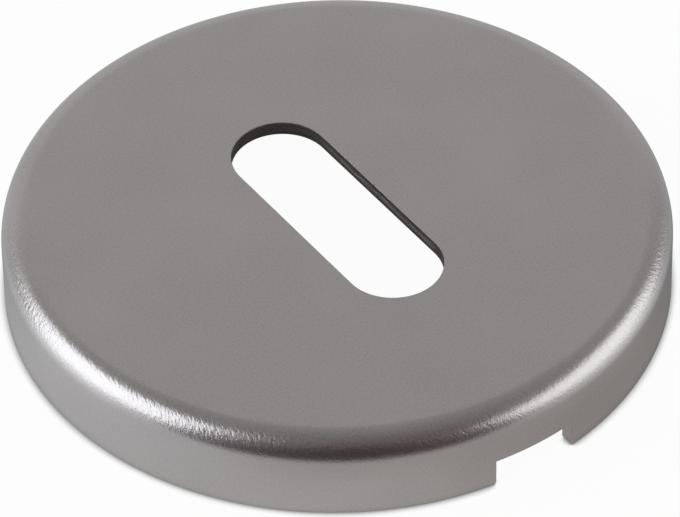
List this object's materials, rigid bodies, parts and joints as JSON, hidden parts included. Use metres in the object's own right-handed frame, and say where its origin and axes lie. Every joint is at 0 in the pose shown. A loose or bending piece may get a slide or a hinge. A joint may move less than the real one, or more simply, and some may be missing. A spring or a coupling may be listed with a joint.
{
  "type": "keyhole escutcheon",
  "caption": "Round drawn-sheet cover for a door's keyhole, with an obround key slot through its face and a pry notch in its skirt.",
  "frame": {"origin": "centre of the rim, in the plane that lies on the door", "axes": "+Z out of the face, away from the door; key slot along Y; pry notch on the -Y side of the skirt"},
  "size_m": [0.052, 0.052, 0.0072],
  "materials": {
    "satin_aluminium": "satin anodised"
  },
  "bodies": {
    "root": {"escutcheon_cover": "satin_aluminium"}
  },
  "joints": []
}
